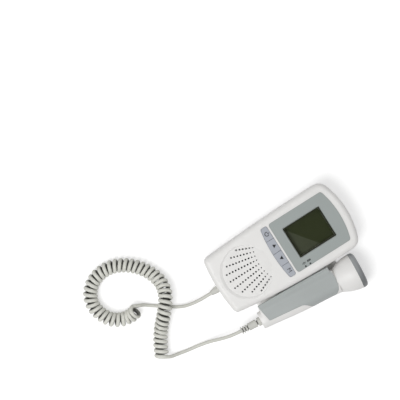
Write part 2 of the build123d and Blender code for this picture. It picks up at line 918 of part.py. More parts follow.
cone_rim = rim_inner - seat_gap
cone_low = rim_top - cone_depth
speaker_cone = turned(
    (
        (cone_rim, rim_top),
        (cap_radius, cone_low),
        (cap_radius / 2, cone_low + cap_rise - cone_sheet),
        (0, cone_low + cap_rise),
        (0, cone_low + cap_rise - cone_sheet),
        (cap_radius / 2, cone_low + cap_rise - 2 * cone_sheet),
        (cap_radius, cone_low - cone_sheet),
        (cone_rim, rim_top - cone_sheet),
    )
)
write_piece(speaker_cone, "speaker_cone")

with BuildPart() as speaker_magnet:
    with Locations((0, speaker_place, basket_bottom)):
        Cylinder(
            magnet_radius,
            magnet_thickness,
            align=(Align.CENTER, Align.CENTER, Align.MAX),
        )
    chamfer(speaker_magnet.edges().group_by(Axis.Z)[0], basket_sheet)
write_piece(speaker_magnet.part, "speaker_magnet")

# ---- battery cells and contacts ----
cell_back = bay_back - contact_thickness - spring_bulge - seat_gap
for cell_name, side in (("battery_left", -1), ("battery_right", 1)):
    with BuildPart() as cell:
        with Locations(Location((side * cell_pitch / 2, cell_back, cell_height), (90, 0, 0))):
            Cylinder(cell_radius, cell_length, align=bottom_align)
            Cylinder(cell_nub_radius, cell_length + cell_nub_length, align=bottom_align)
    write_piece(cell.part, cell_name)

with BuildPart() as battery_plates:
    with Locations(
        *[(side * cell_pitch / 2, bay_front, cell_height) for side in (-1, 1)]
    ):
        Box(contact_width, contact_thickness, contact_height, align=(Align.CENTER, Align.MIN, Align.CENTER))
write_piece(battery_plates.part, "battery_plates")

with BuildPart() as battery_springs:
    spring_half = contact_height / 2
    for side in (-1, 1):
        plane = Plane(
            (side * cell_pitch / 2 - contact_width / 2, bay_back, cell_height),
            x_dir=(0, -1, 0),
            z_dir=(1, 0, 0),
        )
        with BuildSketch(plane):
            with BuildLine():
                outer = ThreePointArc(
                    (contact_thickness, -spring_half),
                    (contact_thickness + spring_bulge, 0),
                    (contact_thickness, spring_half),
                )
                inner = ThreePointArc(
                    (contact_thickness, -spring_half + 2 * contact_thickness),
                    (spring_bulge, 0),
                    (contact_thickness, spring_half - 2 * contact_thickness),
                )
                Line(outer @ 0, (0, -spring_half))
                Line((0, -spring_half), (0, spring_half))
                Line((0, spring_half), outer @ 1)
                Line(inner @ 0, inner @ 1)
            make_face()
        extrude(amount=contact_width)
write_piece(battery_springs.part, "battery_springs")

# ---- case screws ----
with BuildPart() as case_screws:
    with Locations(*[(x, y, screw_seat) for x, y in screw_places]):
        Cylinder(screw_radius, screw_length, align=bottom_align)
        Cylinder(
            screw_head_radius,
            screw_head_height,
            align=(Align.CENTER, Align.CENTER, Align.MAX),
        )
    with Locations(*[(x, y, screw_seat - screw_head_height) for x, y in screw_places]):
        Box(cross_length, cross_width, 2 * cross_depth, mode=Mode.SUBTRACT)
        Box(cross_width, cross_length, 2 * cross_depth, mode=Mode.SUBTRACT)
write_piece(case_screws.part, "case_screws")

# ---- strain relief at the main unit's front end ----
boot_face = -half_length - seat_gap
boot_end_place = boot_face - unit_boot_straight - unit_boot_taper
with BuildPart() as cord_boot:
    with BuildSketch(Plane.XY.offset(split_height)):
        flange_front = -half_length + wall + seat_gap
        with BuildLine():
            Polyline(
                (0, flange_front + boot_flange_thickness),
                (boot_flange_radius, flange_front + boot_flange_thickness),
                (boot_flange_radius, flange_front),
                (boot_neck_radius, flange_front),
                (boot_neck_radius, boot_face),
                (unit_boot_radius, boot_face),
                (unit_boot_radius, boot_face - unit_boot_straight),
                (unit_boot_end_radius, boot_end_place),
                (0, boot_end_place),
                close=True,
            )
        make_face()
    revolve(axis=Axis((0, 0, split_height), (0, 1, 0)))
write_piece(cord_boot.part, "cord_boot")

# ---- probe shells ----
lower_post_top = axis_height - probe_board_drop - probe_board_thickness
upper_post_bottom = axis_height - probe_board_drop
with BuildPart() as lower_posts:
    with Locations(*[(0, place, 0) for place in probe_screw_places]):
        Cylinder(probe_post_radius, lower_post_top, align=bottom_align)
    add(handle_outside, mode=Mode.INTERSECT)

with BuildPart() as upper_posts:
    with Locations(*[(0, place, upper_post_bottom) for place in probe_screw_places]):
        Cylinder(probe_upper_post_radius, body_height, align=bottom_align)
    add(handle_outside, mode=Mode.INTERSECT)

with BuildPart() as probe_lower_shell:
    add(handle_outside)
    add(grip_prism(seam_gap), mode=Mode.SUBTRACT)
    cap_corner_radius = grip_corner_radius - cap_edge_radius / 2
    loft(
        [
            core_section(handle_low_end, low_half_width, low_half_height, grip_corner_radius),
            core_section(cap_end, cap_half_width, cap_half_height, cap_corner_radius),
        ]
    )
    fillet(probe_lower_shell.faces().sort_by(Axis.Y)[0].edges(), cap_edge_radius)
    add(handle_void.part, mode=Mode.SUBTRACT)
    add(lower_posts.part)
    with Locations(*[Location((0, place, 0), (180, 0, 0)) for place in probe_screw_places]):
        CounterBoreHole(
            probe_screw_radius + screw_clearance,
            probe_screw_head_radius + head_clearance,
            probe_screw_seat,
            body_height,
        )
    with Locations(Location((0, cap_end, axis_height), (90, 0, 0))):
        Cylinder(boot_neck_radius + boot_clearance, 2 * (void_low_end - cap_end), mode=Mode.SUBTRACT)
write_piece(probe_seat * probe_lower_shell.part, "probe_lower_shell")

with BuildPart() as probe_grip_shell:
    add(handle_outside)
    add(grip_prism(0), mode=Mode.INTERSECT)
    add(handle_void.part, mode=Mode.SUBTRACT)
    add(upper_posts.part)
    with Locations(*[(0, place, upper_post_bottom) for place in probe_screw_places]):
        Cylinder(
            probe_screw_radius + thread_gap,
            probe_screw_seat + probe_screw_length + 1 - upper_post_bottom,
            align=bottom_align,
            mode=Mode.SUBTRACT,
        )
write_piece(probe_seat * probe_grip_shell.part, "probe_grip_shell")

# ---- probe head and face ----
probe_axis = Axis((0, 0, axis_height), (0, 1, 0))
with BuildPart() as probe_head:
    with BuildSketch(Plane.XY.offset(axis_height)):
        with BuildLine():
            outside = ThreePointArc(
                (neck_radius, neck_place),
                (head_middle_radius, head_middle_place),
                (rim_radius, 0),
            )
            inside = ThreePointArc(
                (rim_radius - head_wall, 0),
                (head_middle_radius - head_wall, head_middle_place),
                (neck_radius - head_wall, neck_place + head_wall),
            )
            Line(outside @ 1, inside @ 0)
            Polyline(
                inside @ 1,
                (spigot_bore, neck_place + head_wall),
                (spigot_bore, neck_place - spigot_length),
                (spigot_radius, neck_place - spigot_length),
                (spigot_radius, neck_place),
                outside @ 0,
            )
        make_face()
    revolve(axis=probe_axis)
write_piece(probe_seat * probe_head.part, "probe_head")

pocket_floor = face_depth - face_wall
with BuildPart() as probe_face:
    with BuildSketch(Plane.XY.offset(axis_height)) as face_profile:
        with BuildLine():
            Polyline(
                (0, face_depth),
                (rim_radius, face_depth),
                (rim_radius, face_gap),
                (face_plug_radius, face_gap),
                (face_plug_radius, -face_plug_depth),
                (face_pocket_radius, -face_plug_depth),
                (face_pocket_radius, pocket_floor),
                (0, pocket_floor),
                close=True,
            )
        make_face()
        outer_corners = face_profile.vertices().group_by(Axis.X)[-1]
        fillet(outer_corners.sort_by(Axis.Y)[-1], face_edge_radius)
    revolve(axis=probe_axis)
write_piece(probe_seat * probe_face.part, "probe_face")

with BuildPart() as probe_crystals:
    with BuildSketch(Plane.XZ.offset(-pocket_floor)):
        with Locations((0, axis_height)):
            Circle(crystal_radius)
            Rectangle(crystal_gap, 2 * crystal_radius, mode=Mode.SUBTRACT)
    extrude(amount=crystal_thickness)
write_piece(probe_seat * probe_crystals.part, "probe_crystals")

with BuildPart() as crystal_backing:
    with BuildSketch(Plane.XZ.offset(crystal_thickness - pocket_floor)):
        with Locations((0, axis_height)):
            Circle(face_pocket_radius - seat_gap)
    extrude(amount=backing_thickness)
write_piece(probe_seat * crystal_backing.part, "crystal_backing")

# ---- inside the handle ----
with BuildPart() as probe_board:
    with BuildSketch(Plane.XY.offset(lower_post_top)):
        with Locations((0, (probe_board_low + probe_board_high) / 2)):
            Rectangle(probe_board_width, probe_board_high - probe_board_low)
        with Locations(*[(0, place) for place in probe_screw_places]):
            Circle(probe_screw_radius + hole_gap, mode=Mode.SUBTRACT)
    extrude(amount=probe_board_thickness)
write_piece(probe_seat * probe_board.part, "probe_board")

with BuildPart() as probe_screws:
    with Locations(*[(0, place, probe_screw_seat) for place in probe_screw_places]):
        Cylinder(probe_screw_radius, probe_screw_length, align=bottom_align)
        Cylinder(
            probe_screw_head_radius,
            probe_screw_head_height,
            align=(Align.CENTER, Align.CENTER, Align.MAX),
        )
    probe_screw_bottom = probe_screw_seat - probe_screw_head_height
    with Locations(*[(0, place, probe_screw_bottom) for place in probe_screw_places]):
        Box(probe_cross_length, cross_width, 2 * cross_depth, mode=Mode.SUBTRACT)
        Box(cross_width, probe_cross_length, 2 * cross_depth, mode=Mode.SUBTRACT)
write_piece(probe_seat * probe_screws.part, "probe_screws")

# ---- the probe's strain relief ----
probe_boot_face = cap_end - seat_gap
probe_boot_end = probe_boot_face - probe_boot_length
with BuildPart() as probe_boot:
    with BuildSketch(Plane.XY.offset(axis_height)):
        inner_face = void_low_end + seat_gap
        collar_end = probe_boot_face - probe_boot_collar_length
        with BuildLine():
            Polyline(
                (0, inner_face + boot_flange_thickness),
                (boot_flange_radius, inner_face + boot_flange_thickness),
                (boot_flange_radius, inner_face),
                (boot_neck_radius, inner_face),
                (boot_neck_radius, probe_boot_face),
                (probe_boot_collar_radius, probe_boot_face),
                (probe_boot_collar_radius, collar_end),
                (probe_boot_radius, collar_end),
                (probe_boot_end_radius, probe_boot_end),
                (0, probe_boot_end),
                close=True,
            )
        make_face()
    revolve(axis=probe_axis)
    for place in probe_groove_places:
        with BuildSketch(Plane.XZ.offset(place - probe_boot_face)):
            with Locations((0, axis_height)):
                Circle(probe_boot_collar_radius)
                Circle(probe_boot_radius - probe_groove_depth, mode=Mode.SUBTRACT)
        extrude(amount=probe_groove_width / 2, both=True, mode=Mode.SUBTRACT)
write_piece(probe_seat * probe_boot.part, "probe_boot")

# ---- the cord: two plain leads and the coil between them ----
probe_cord_start = probe_seat * Location((0, probe_boot_end, axis_height))
probe_cord_next = probe_cord_start * Location((0, -first_run, 0))
unit_lead_route = (
    (0.0, boot_end_place, split_height),
    (0.0, boot_end_place - first_run, split_height),
    (-0.6, -95.0, 10.2),
    (-3.0, -105.4, 4.8),
    (-9.0, -114.7, 1.8),
    (-16.2, -124.8, 1.8),
    (-22.5, -133.0, 1.8),
    (-25.4, -137.6, 3.4),
    (-24.5, -145.0, 8.5),
)
coil_route = (
    (-22.0, -142.1, 13.0),
    (-20.1, -153.0, 6.9),
    (-26.3, -165.1, 6.9),
    (-38.8, -172.8, 6.9),
    (-51.9, -173.5, 6.9),
    (-63.8, -166.2, 6.9),
    (-69.5, -153.5, 6.9),
    (-69.2, -140.9, 6.9),
    (-64.2, -129.7, 6.9),
    (-55.7, -119.6, 6.9),
    (-43.9, -112.1, 6.9),
    (-31.4, -108.9, 9.2),
    (-19.8, -111.8, 13.8),
    (-7.0, -121.9, 13.8),
    (0.8, -129.7, 9.2),
    (6.5, -134.6, 6.9),
    (16.1, -140.8, 6.9),
    (27.5, -146.0, 6.9),
)
probe_lead_route = (
    tuple(probe_cord_start.position),
    tuple(probe_cord_next.position),
    (40.2, -90.6, 11.9),
    (37.0, -101.2, 6.2),
    (34.9, -112.0, 2.6),
    (33.6, -122.0, 1.8),
    (31.9, -130.8, 3.2),
    (29.9, -137.4, 6.0),
    (26.2, -144.2, 8.0),
)
arc_share = 0.45               # how much of the shorter run each corner's arc takes


def corner_radii(route):
    """The largest arc that each corner's two runs allow."""
    radii = []
    for before, corner, after in zip(route, route[1:], route[2:]):
        run_in = Vector(corner) - Vector(before)
        run_out = Vector(after) - Vector(corner)
        turn = radians(run_in.get_angle(run_out))
        radii.append(arc_share * min(run_in.length, run_out.length) / tan(turn / 2))
    return radii


def cord_piece(label, route, diameter):
    """A round tube along straight runs joined by tangent arcs."""
    with BuildPart() as tube:
        with BuildLine():
            centre_line = FilletPolyline(*route, radius=corner_radii(route))
        with BuildSketch(Plane(origin=centre_line @ 0, z_dir=centre_line % 0)):
            Circle(diameter / 2)
        sweep()
    expected = pi * diameter**2 / 4 * centre_line.length
    print(label, "radii", [round(radius, 1) for radius in corner_radii(route)])
    print(label, "volume", round(tube.part.volume, 1), "section times length", round(expected, 1))
    write_piece(tube.part, label)


cord_piece("cord_lead_unit", unit_lead_route, cord_diameter)
cord_piece("curly_cord", coil_route, coil_outer_diameter)
cord_piece("cord_lead_probe", probe_lead_route, cord_diameter)
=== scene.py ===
import json
import math
import bpy
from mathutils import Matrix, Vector
from mathutils.kdtree import KDTree


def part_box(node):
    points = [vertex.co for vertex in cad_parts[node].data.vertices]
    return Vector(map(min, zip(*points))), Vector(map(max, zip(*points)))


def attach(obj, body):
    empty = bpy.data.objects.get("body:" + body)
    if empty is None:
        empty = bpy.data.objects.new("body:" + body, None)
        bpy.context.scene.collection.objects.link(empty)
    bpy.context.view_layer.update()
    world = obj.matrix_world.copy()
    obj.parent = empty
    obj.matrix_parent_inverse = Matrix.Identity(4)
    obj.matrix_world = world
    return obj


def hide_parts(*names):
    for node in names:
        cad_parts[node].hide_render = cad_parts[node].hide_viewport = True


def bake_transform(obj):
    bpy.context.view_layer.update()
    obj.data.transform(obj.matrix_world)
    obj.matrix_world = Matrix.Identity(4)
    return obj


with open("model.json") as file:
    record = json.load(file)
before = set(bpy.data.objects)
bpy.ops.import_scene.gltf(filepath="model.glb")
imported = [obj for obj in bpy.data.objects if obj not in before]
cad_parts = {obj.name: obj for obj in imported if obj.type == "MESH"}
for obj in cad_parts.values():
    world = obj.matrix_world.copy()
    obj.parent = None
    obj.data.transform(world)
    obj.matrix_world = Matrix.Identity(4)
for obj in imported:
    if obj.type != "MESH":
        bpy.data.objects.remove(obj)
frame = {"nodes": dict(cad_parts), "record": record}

# a hand-held fetal doppler on its back: white case, grey panel, docked probe and curly cord;
# sizes and places are in millimetres unless their note says otherwise
nodes = frame["nodes"]
slotOf = {part["node"]: part["material_slot"] for part in frame["record"]["subparts"]}
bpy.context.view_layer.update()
mm = 0.001
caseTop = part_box("front_cover")[1].z / mm
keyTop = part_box("power_key")[1].z / mm

print("camera")
camera = {
    "above": (-77.0, -39.15),   # the point that it looks straight down at
    "distance": 1500.0,         # above the top of the case
    "seenWidth": 360.0,         # what it takes in at the top of the case
    "right": (0.534, 0.845),    # which way the right side of the view points
    "nearest": 50.0,            # it sees nothing nearer than this
    "farthest": 20000.0,
}


def addCamera():
    lens = bpy.data.cameras.new("viewCamera")
    lens.angle = 2 * math.atan(camera["seenWidth"] / 2 / camera["distance"])
    lens.clip_start = camera["nearest"] * mm
    lens.clip_end = camera["farthest"] * mm
    seen = bpy.data.objects.new("viewCamera", lens)
    bpy.context.scene.collection.objects.link(seen)
    x, y = camera["above"]
    seen.location = Vector((x, y, caseTop + camera["distance"])) * mm
    turn = math.atan2(camera["right"][1], camera["right"][0])
    seen.rotation_euler = (0, 0, turn)
    bpy.context.scene.camera = seen


addCamera()
bpy.context.scene.view_settings.view_transform = "Standard"

print("cord")
cord = {
    "thickness": 3.4,
    "coilStretch": 1.08,        # the coiled jacket is this many times as thick,
    "leadStretch": 0.94,        # and the two plain leads this many times
    "coilWidth": 13.6,          # across the coil, outside
    "turns": 45,
    "startAngle": -60.0,        # degrees round the coil from its side, where the first lead joins
    "endAngle": 150.0,
    "pointsPerTurn": 16,
    "curveSteps": 6,            # short straights from one point to the next
    "tubeSides": 14,
    "length": 1.59,             # metres of cord, measured along the jacket
    "leadBeyond": 0.53,         # in coil widths: farther than this from the coil's middle it is lead
    "shadeFrom": 6.2,           # nearer to the coil's middle line than this painted shade darkens it, and here the painted shade is full
    "shadeTo": 4.7,             # and here it is fully dark
    "shadeDark": 0.3,
    "leadShade": 0.13,          # the leads are painted a little greyer
}
unitLead = [                    # from the main unit's boot to the coil
    (0.0, -75.8, 15.0), (0.0, -84.8, 15.0), (-0.6, -95.0, 10.2), (-3.0, -105.4, 4.8),
    (-9.0, -114.7, 1.8), (-16.2, -124.8, 1.8), (-20.6, -130.6, 1.8), (-24.2, -135.2, 4.8),
]
coilRoute = [                   # the coil's own middle line
    (-23.6, -140.6, 14.0), (-20.0, -148.2, 6.9), (-25.0, -164.6, 6.9), (-38.8, -172.8, 6.9),
    (-51.9, -173.5, 6.9), (-63.8, -166.2, 6.9), (-69.5, -153.5, 6.9), (-69.2, -140.9, 6.9),
    (-64.2, -129.7, 6.9), (-55.7, -119.6, 6.9), (-43.9, -112.1, 6.9), (-31.4, -108.9, 9.2),
    (-19.8, -111.8, 13.8), (-7.0, -121.9, 13.8), (0.8, -129.7, 9.2), (6.5, -134.6, 6.9),
    (16.1, -140.8, 6.9), (27.5, -146.0, 6.9),
]
probeLead = [                   # from the coil to the probe's boot
    (30.2, -137.6, 7.0), (31.5, -131.2, 3.2), (33.6, -122.0, 1.8), (34.9, -112.0, 2.6),
    (37.0, -101.2, 6.2), (40.2, -90.6, 11.9), (42.82, -79.79, 17.1), (43.54, -70.82, 17.1),
]


def inMetres(points):
    return [Vector(point) * mm for point in points]


def splineCurve(name, points, widths=()):
    curve = bpy.data.curves.new(name, "CURVE")
    curve.dimensions = "3D"
    spline = curve.splines.new("NURBS")
    spline.points.add(len(points) - 1)
    for place, point in zip(spline.points, points):
        place.co = (*point, 1)
    for place, width in zip(spline.points, widths):
        place.radius = width
    spline.order_u = 3
    spline.use_endpoint_u = True
    spline.resolution_u = cord["curveSteps"]
    made = bpy.data.objects.new(name, curve)
    bpy.context.scene.collection.objects.link(made)
    return made


def linePoints(curveObject):
    bpy.context.view_layer.update()
    shape = bpy.data.meshes.new_from_object(curveObject)
    found = [point.co.copy() for point in shape.vertices]
    bpy.data.meshes.remove(shape)
    return found


def helixPoints(centre):
    # the coil's turns, wound left-handed round its own middle line
    runs = [0.0]
    for here, there in zip(centre, centre[1:]):
        runs.append(runs[-1] + (there - here).length)
    first = math.radians(cord["startAngle"])
    last = math.radians(cord["endAngle"]) + 2 * math.pi * cord["turns"]
    steps = round((last - first) / (2 * math.pi) * cord["pointsPerTurn"])
    # the spline passes inside its points, so the points stand a little farther out
    inside = (3 + math.cos(2 * math.pi / cord["pointsPerTurn"])) / 4
    strand = cord["thickness"] * cord["coilStretch"]
    radius = (cord["coilWidth"] - strand) / 2 * mm / inside
    margin = strand / 2 * mm
    points = []
    spot = 0
    for step in range(steps + 1):
        share = step / steps
        along = margin + share * (runs[-1] - 2 * margin)
        while spot < len(runs) - 2 and runs[spot + 1] < along:
            spot += 1
        part = (along - runs[spot]) / (runs[spot + 1] - runs[spot])
        place = centre[spot].lerp(centre[spot + 1], part)
        before = centre[max(spot - 1, 0)]
        after = centre[min(spot + 2, len(centre) - 1)]
        ahead = (after - before).normalized()
        side = ahead.cross(Vector((0, 0, 1))).normalized()
        up = side.cross(ahead)
        angle = first + share * (last - first)
        points.append(place + radius * (math.cos(angle) * side + math.sin(angle) * up))
    return points


def markHollow(shape, centre):
    # how dark the cord is painted at each corner, from 0 to 1: painted shade, most at the inside of
    # the coil, and a slightly greyer tone on the leads
    tree = KDTree(len(centre))
    for spot, point in enumerate(centre):
        tree.insert(point, spot)
    tree.balance()
    far = cord["shadeFrom"] * mm
    near = cord["shadeTo"] * mm
    leadReach = cord["leadBeyond"] * cord["coilWidth"] * mm
    hollow = shape.attributes.new("hollow", "FLOAT", "POINT")
    for corner, level in zip(shape.vertices, hollow.data):
        spot, reach = tree.find(corner.co)[1:]
        if reach > leadReach:
            level.value = cord["leadShade"]
        elif 0 < spot < len(centre) - 1:
            level.value = min(max((far - reach) / (far - near), 0), 1)


def addCord():
    coilLine = splineCurve("coilLine", inMetres(coilRoute))
    centre = linePoints(coilLine)
    bpy.data.objects.remove(coilLine)
    turns = helixPoints(centre)
    widths = [cord["leadStretch"]] * len(unitLead)
    widths += [cord["coilStretch"]] * len(turns)
    widths += [cord["leadStretch"]] * len(probeLead)
    whole = splineCurve("cordLine", inMetres(unitLead) + turns + inMetres(probeLead), widths)
    middle = linePoints(whole)
    whole.data.bevel_depth = cord["thickness"] / 2 * mm
    whole.data.bevel_resolution = cord["tubeSides"] // 2 - 2
    whole.data.use_fill_caps = True
    bpy.context.view_layer.update()
    shape = bpy.data.meshes.new_from_object(whole)
    bpy.data.objects.remove(whole)
    markHollow(shape, centre)
    for face in shape.polygons:
        face.use_smooth = True
    tube = bpy.data.objects.new("curlyCord", shape)
    bpy.context.scene.collection.objects.link(tube)
    return tube, middle


curlyCord, cordMiddle = addCord()


class Level:
    # one value of a shader, so that sums of values read as sums
    def __init__(self, paint, socket):
        self.paint = paint
        self.socket = socket

    def reckon(self, operation, first, second):
        return self.paint.node("ShaderNodeMath", {"operation": operation}, {0: first, 1: second})

    def __add__(self, other):
        return self.reckon("ADD", self, other)

    def __sub__(self, other):
        return self.reckon("SUBTRACT", self, other)

    def __rsub__(self, other):
        return self.reckon("SUBTRACT", other, self)

    def __mul__(self, other):
        return self.reckon("MULTIPLY", self, other)

    def __truediv__(self, other):
        return self.reckon("DIVIDE", self, other)

    def __lt__(self, other):
        return self.reckon("LESS_THAN", self, other)

    def __gt__(self, other):
        return self.reckon("GREATER_THAN", self, other)

    def __abs__(self):
        return self.reckon("ABSOLUTE", self, 0.0)

    __radd__ = __add__
    __rmul__ = __mul__


def opaque(value):
    # a colour gets its alpha, and anything else stays as it is
    return (*value, 1) if isinstance(value, tuple) else value


class Paint:
    # a material under construction
    def __init__(self, name):
        self.material = bpy.data.materials.new(name)
        self.material.use_nodes = True
        self.tree = self.material.node_tree
        self.tree.nodes.clear()
        self.end = self.tree.nodes.new("ShaderNodeOutputMaterial")
        self.object = self.node("ShaderNodeTexCoord", out="Object")

    def node(self, kind, settings=None, sockets=None, out=0):
        made = self.tree.nodes.new(kind)
        for key, value in (settings or {}).items():
            setattr(made, key, value)
        for key, value in (sockets or {}).items():
            if isinstance(value, Level):
                self.tree.links.new(value.socket, made.inputs[key])
            else:
                made.inputs[key].default_value = value
        return Level(self, made.outputs[out])

    def noise(self, size, detail=2.0, roughness=0.5, place=None):
        # size is the width of one blotch
        return self.node("ShaderNodeTexNoise", {}, {
            "Vector": place or self.object, "Scale": 1 / (size * mm), "Detail": detail,
            "Roughness": roughness})

    def cells(self, size):
        # how far it is to the middle of the nearest cell, in cells
        return self.node("ShaderNodeTexVoronoi", {}, {
            "Vector": self.object, "Scale": 1 / (size * mm)})

    def mix(self, share, under, over):
        return self.node("ShaderNodeMix", {"data_type": "RGBA"}, {
            0: share, 6: opaque(under), 7: opaque(over)}, out=2)

    def shade(self, share, under, factor):
        # where share is 1, the colour is factor times as bright
        return self.node("ShaderNodeMix", {"data_type": "RGBA", "blend_type": "MULTIPLY"}, {
            0: share, 6: under, 7: opaque((factor, factor, factor))}, out=2)

    def fit(self, level, low, high, start, stop):
        # level from low to high becomes start to stop, and no further
        return self.node("ShaderNodeMapRange", {"clamp": True}, {
            0: level, 1: low, 2: high, 3: start, 4: stop})

    def axes(self):
        return [
            self.node("ShaderNodeSeparateXYZ", {}, {0: self.object}, out=axis) for axis in "XYZ"]

    def bump(self, height, depth):
        # depth is how far full height stands out
        return self.node("ShaderNodeBump", {}, {
            "Height": height, "Distance": depth * mm, "Strength": 1.0})

    def finish(self, **sockets):
        # the shader's own names for its sockets, with _ for a space
        given = {key.replace("_", " "): opaque(value) for key, value in sockets.items()}
        surface = self.node("ShaderNodeBsdfPrincipled", {}, given)
        self.tree.links.new(surface.socket, self.end.inputs["Surface"])
        return self.material


def tone(red, green, blue):
    # a screen colour, 0 to 255, as the shader wants it
    def straight(part):
        part = part / 255
        return part / 12.92 if part <= 0.04045 else ((part + 0.055) / 1.055) ** 2.4
    return (straight(red), straight(green), straight(blue))


def shaded(colour, factor):
    return tuple(part * factor for part in colour)


print("materials")
moulded = {                     # what every moulded plastic and rubber here has
    "blotchSize": 18.0,
    "blotchRange": (0.3, 0.7),
    "blotchShades": (0.975, 1.01),
    "speckSize": 0.9,
    "speckRange": (0.68, 0.78),
    "speckShare": 0.06,
    "speckShade": 0.7,
    "rubSize": 9.0,             # how wide the patches are that handling polishes
    "rubRange": (0.35, 0.7),
}


def paintMoulded(name, look, wearAndPaintedLight=None):
    # spark-eroded grain, slow changes of tone, fine specks and a little handling shine;
    # the last argument, where given, lists places on the piece that are painted lighter or darker,
    # mostly painted light and painted shade, and how many times as bright they are
    paint = Paint(name)
    blotch = paint.noise(moulded["blotchSize"], 3)
    fine = paint.noise(look["grainSize"], 2)
    rubbed = paint.fit(paint.noise(moulded["rubSize"], 4, 0.6), *moulded["rubRange"], 0, 1)
    colour = look["colour"]
    darker, lighter = moulded["blotchShades"]
    patches = paint.fit(blotch, *moulded["blotchRange"], 0, 1)
    base = paint.mix(patches, shaded(colour, darker), shaded(colour, lighter))
    speck = paint.fit(
        paint.noise(moulded["speckSize"], 1), *moulded["speckRange"], 0, moulded["speckShare"])
    base = paint.mix(speck, base, shaded(colour, moulded["speckShade"]))
    for share, factor in wearAndPaintedLight(paint) if wearAndPaintedLight else ():
        base = paint.shade(share, base, factor)
    low, high = look["roughness"]
    rough = paint.fit(rubbed, 0, 1, high, low)
    return paint.finish(
        Base_Color=base, Roughness=rough, Specular_IOR_Level=look["specular"],
        Normal=paint.bump(fine, look["grainDepth"]))


casePlastic = {
    "colour": tone(236, 235, 233),
    "grainSize": 0.35,
    "grainDepth": 0.012,
    "roughness": (0.36, 0.50),
    "specular": 0.5,
}
speakerDish = {
    "middle": (0.0, -37.4),
    "reach": (23.8, 22.8),      # from its middle to its rim, across and along
    "insideShade": 0.96,               # painted shade: how bright it is inside, and how softly that ends, in squares of its reach
    "insideShadeEdge": 0.12,           # and how softly that ends, in squares of its reach
    "rim": (1.0, 1.16),         # where the slope at its rim lies, in squares of its reach
    "rimLight": 1.06,            # that slope is kept paler by handling
    "rimLightBelow": -0.6,       # painted light keeps that slope paler and softens its shading, fully so from here towards the front end, in reaches
    "holesBelow": 28.35,        # under this height the holes' walls are painted dark, a painted shade
    "holesShade": 0.03,
}


def dishLightAndShade(paint):
    # painted shade inside the dish and on the walls of its holes, and painted light on the slope at
    # its rim
    x, y, z = paint.axes()
    middleX, middleY = speakerDish["middle"]
    reachX, reachY = speakerDish["reach"]
    across = (x - middleX * mm) / (reachX * mm)
    along = (y - middleY * mm) / (reachY * mm)
    span = across * across + along * along
    low = z < speakerDish["holesBelow"] * mm
    shadedInside = paint.fit(span, 1 - speakerDish["insideShadeEdge"], 1.0, 1, 0) * (1 - low)
    inner, outer = speakerDish["rim"]
    deep = paint.fit(along, speakerDish["rimLightBelow"], 0, 1, 0)
    rim = (span > inner) * (span < outer) * (1 - low) * deep
    holes = (span < inner) * low
    return [
        (shadedInside, speakerDish["insideShade"]), (rim, speakerDish["rimLight"]),
        (holes, speakerDish["holesShade"])]


panelPlastic = {
    "colour": tone(160, 167, 165),
    "grainSize": 0.22,
    "grainDepth": 0.008,
    "roughness": (0.34, 0.46),
    "specular": 0.5,
}
keyRubber = {
    "colour": tone(175, 179, 187),
    "grainSize": 0.25,
    "grainDepth": 0.008,
    "roughness": (0.45, 0.6),
    "specular": 0.35,
}
probeLine = {                   # the probe's middle line
    "from": probeLead[-1],      # where the cord goes in
    "ahead": (0.080, 0.9968),
}


def besideProbe(x, y):
    # how far a place lies to the right of the probe's middle line, seen from above
    startX, startY, startZ = probeLine["from"]
    aheadX, aheadY = probeLine["ahead"]
    return (x - startX * mm) * aheadY - (y - startY * mm) * aheadX


gripRubber = {
    "colour": tone(171, 176, 175),
    "grainSize": 0.3,
    "grainDepth": 0.014,
    "roughness": (0.42, 0.56),
    "specular": 0.4,
    "highlightFrom": -6.0,           # painted highlight: paler towards the case, from this far from the middle line
    "highlightTo": -13.0,
    "paintedLight": 1.2,
}


def gripHighlight(paint):
    # painted highlight on the grip's side towards the case
    x, y, z = paint.axes()
    share = paint.fit(
        besideProbe(x, y), gripRubber["highlightTo"] * mm, gripRubber["highlightFrom"] * mm, 1, 0)
    return [(share, gripRubber["paintedLight"])]


facePlastic = {
    "colour": tone(160, 163, 165),
    "grainSize": 0.3,
    "grainDepth": 0.006,
    "roughness": (0.35, 0.45),
    "specular": 0.5,
    "shadeFrom": 42.0,          # painted shade darkens it towards the side away from the case
    "shadeTo": 68.0,
    "dark": 0.42,
}


def faceShade(paint):
    # painted shade, darker towards the side away from the case
    x, y, z = paint.axes()
    share = paint.fit(x, facePlastic["shadeFrom"] * mm, facePlastic["shadeTo"] * mm, 0, 1)
    return [(share, facePlastic["dark"])]


cordJacket = {
    "colour": tone(220, 220, 212),
    "grainSize": 0.3,
    "grainDepth": 0.01,
    "roughness": (0.42, 0.55),
    "specular": 0.4,
}


def coilShadeAndLeadGrey(paint):
    # painted shade inside the coil, and the leads' slightly greyer tone
    hollow = paint.node("ShaderNodeAttribute", {"attribute_name": "hollow"}, out="Fac")
    return [(hollow, cord["shadeDark"])]


bootRubber = {**cordJacket, "colour": tone(204, 204, 198)}
bootGrooves = {
    "floor": 2.9,               # nearer to the probe's middle line than this is a groove's bottom, which gets painted shade
    "dark": 0.18,
}


def grooveShade(paint):
    # painted shade at the bottoms of the boot's grooves
    x, y, z = paint.axes()
    across = besideProbe(x, y)
    rise = z - probeLine["from"][2] * mm
    near = (across * across + rise * rise) < (bootGrooves["floor"] * mm) ** 2
    return [(near, bootGrooves["dark"])]


